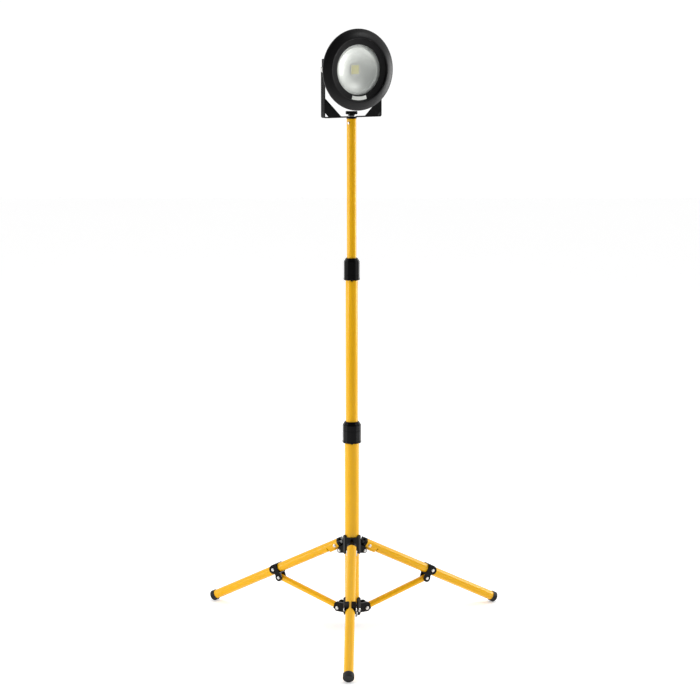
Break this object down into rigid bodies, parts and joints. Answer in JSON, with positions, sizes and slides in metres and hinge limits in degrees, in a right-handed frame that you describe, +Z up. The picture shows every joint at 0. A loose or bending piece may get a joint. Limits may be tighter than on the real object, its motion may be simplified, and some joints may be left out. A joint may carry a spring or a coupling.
{
  "type": "tripod work light",
  "caption": "Round floodlight head in a tilting U bracket on a telescopic mast with a folding three-legged stand.",
  "frame": {"origin": "on the floor, on the mast's axis, midway between the feet", "axes": "+Z up along the mast, one leg along -Y, the other two 120 degrees either side of it"},
  "size_m": [0.81, 0.7051, 1.5924],
  "materials": {
    "yellow_paint": "smooth satin powder coat",
    "black_plastic": "moulded, glossy",
    "zinc_steel": "zinc plated",
    "natural_nylon": "natural",
    "rubber_foot": "matt moulded",
    "gasket_rubber": "matt",
    "black_steel": "satin powder coat",
    "black_casting": "cast, satin black powder coat",
    "clear_lens": "clear toughened",
    "reflector_metal": "satin anodised",
    "board_metal": "white solder mask",
    "phosphor": "silicone over phosphor",
    "driver_case": "plain sheet case"
  },
  "bodies": {
    "mast": {"lower_tube": "yellow_paint", "base_hub": "black_plastic", "base_hub_screws": "zinc_steel", "base_hub_rivets": "zinc_steel", "lower_collar_body": "black_plastic", "lower_collar_collet": "natural_nylon"},
    "lower_nut": {"lower_collar_nut": "black_plastic"},
    "middle_mast": {"mid_tube": "yellow_paint", "mid_tube_bush": "natural_nylon", "upper_collar_body": "black_plastic", "upper_collar_collet": "natural_nylon"},
    "upper_nut": {"upper_collar_nut": "black_plastic"},
    "top_mast": {"top_tube": "yellow_paint", "top_tube_bush": "natural_nylon", "top_plug": "black_plastic", "top_plug_screw": "zinc_steel", "bracket_stud": "zinc_steel"},
    "bracket_arm": {"bracket": "black_steel", "bracket_washer": "zinc_steel"},
    "bracket_knob": {"bracket_knob": "black_plastic"},
    "head": {"housing": "black_casting", "bezel": "black_casting", "bezel_screws": "zinc_steel", "lens": "clear_lens", "lens_gasket": "gasket_rubber", "reflector": "reflector_metal", "led_board": "board_metal", "led_emitter": "phosphor", "driver": "driver_case", "rear_cover": "black_casting", "rear_cover_screws": "zinc_steel", "cable_gland": "black_plastic", "gland_nut": "black_plastic", "pivot_bolts": "zinc_steel", "pivot_washers": "natural_nylon"},
    "slide_hub": {"slide_hub": "black_plastic", "slide_hub_pins": "zinc_steel"},
    "lock_knob": {"lock_knob": "black_plastic"},
    "leg_front": {"leg_front_tube": "yellow_paint", "leg_front_plug": "black_plastic", "leg_front_foot": "rubber_foot", "leg_front_clamp": "black_plastic", "leg_front_rivets": "zinc_steel"},
    "brace_front": {"brace_front_tube": "yellow_paint", "brace_front_end": "black_plastic"},
    "leg_right": {"leg_right_tube": "yellow_paint", "leg_right_plug": "black_plastic", "leg_right_foot": "rubber_foot", "leg_right_clamp": "black_plastic", "leg_right_rivets": "zinc_steel"},
    "brace_right": {"brace_right_tube": "yellow_paint", "brace_right_end": "black_plastic"},
    "leg_left": {"leg_left_tube": "yellow_paint", "leg_left_plug": "black_plastic", "leg_left_foot": "rubber_foot", "leg_left_clamp": "black_plastic", "leg_left_rivets": "zinc_steel"},
    "brace_left": {"brace_left_tube": "yellow_paint", "brace_left_end": "black_plastic"}
  },
  "joints": [
    {"name": "hub_slide", "type": "slide", "parent": "mast", "child": "slide_hub", "axis": [0, 0, 1], "range_m": [0, 0.251]},
    {"name": "lock_knob_turn", "type": "hinge", "parent": "slide_hub", "child": "lock_knob", "pos_m": [0, 0.03, 0.226], "axis": [0, 1, 0], "continuous": true},
    {"name": "lower_nut_turn", "type": "hinge", "parent": "mast", "child": "lower_nut", "pos_m": [0, 0, 0.55], "axis": [0, 0, 1], "range_deg": [0, 120]},
    {"name": "middle_slide", "type": "slide", "parent": "mast", "child": "middle_mast", "axis": [0, 0, 1], "range_m": [-0.36, 0]},
    {"name": "upper_nut_turn", "type": "hinge", "parent": "middle_mast", "child": "upper_nut", "pos_m": [0, 0, 0.98], "axis": [0, 0, 1], "range_deg": [0, 120]},
    {"name": "top_slide", "type": "slide", "parent": "middle_mast", "child": "top_mast", "axis": [0, 0, 1], "range_m": [-0.34, 0]},
    {"name": "head_pan", "type": "hinge", "parent": "top_mast", "child": "bracket_arm", "pos_m": [0, 0, 1.3676], "axis": [0, 0, 1], "continuous": true},
    {"name": "bracket_knob_turn", "type": "hinge", "parent": "top_mast", "child": "bracket_knob", "pos_m": [0, 0, 1.375], "axis": [0, 0, 1], "continuous": true},
    {"name": "head_tilt", "type": "hinge", "parent": "bracket_arm", "child": "head", "pos_m": [0, 0, 1.4884], "axis": [-0.8499, -0.527, 0], "range_deg": [-6, 50]},
    {"name": "leg_front_fold", "type": "hinge", "parent": "slide_hub", "child": "leg_front", "pos_m": [0, -0.03299, 0.208], "axis": [1, 0, 0], "range_deg": [0, 49.84]},
    {"name": "brace_front_fold", "type": "hinge", "parent": "leg_front", "child": "brace_front", "pos_m": [0, -0.22899, 0.10197], "axis": [-1, 0, 0], "range_deg": [0, 112.22]},
    {"name": "leg_right_fold", "type": "hinge", "parent": "slide_hub", "child": "leg_right", "pos_m": [0.02857, 0.01649, 0.208], "axis": [-0.5, 0.866, 0], "range_deg": [0, 49.84]},
    {"name": "brace_right_fold", "type": "hinge", "parent": "leg_right", "child": "brace_right", "pos_m": [0.19831, 0.11449, 0.10197], "axis": [0.5, -0.866, 0], "range_deg": [0, 112.22]},
    {"name": "leg_left_fold", "type": "hinge", "parent": "slide_hub", "child": "leg_left", "pos_m": [-0.02857, 0.01649, 0.208], "axis": [-0.5, -0.866, 0], "range_deg": [0, 49.84]},
    {"name": "brace_left_fold", "type": "hinge", "parent": "leg_left", "child": "brace_left", "pos_m": [-0.19831, 0.11449, 0.10197], "axis": [0.5, 0.866, 0], "range_deg": [0, 112.22]}
  ],
  "couplings": [
    {"joint": "leg_front_fold", "follows": "hub_slide", "rad_per_m": 3.4655},
    {"joint": "brace_front_fold", "follows": "hub_slide", "rad_per_m": 7.8032},
    {"joint": "leg_right_fold", "follows": "hub_slide", "rad_per_m": 3.4655},
    {"joint": "brace_right_fold", "follows": "hub_slide", "rad_per_m": 7.8032},
    {"joint": "leg_left_fold", "follows": "hub_slide", "rad_per_m": 3.4655},
    {"joint": "brace_left_fold", "follows": "hub_slide", "rad_per_m": 7.8032}
  ]
}
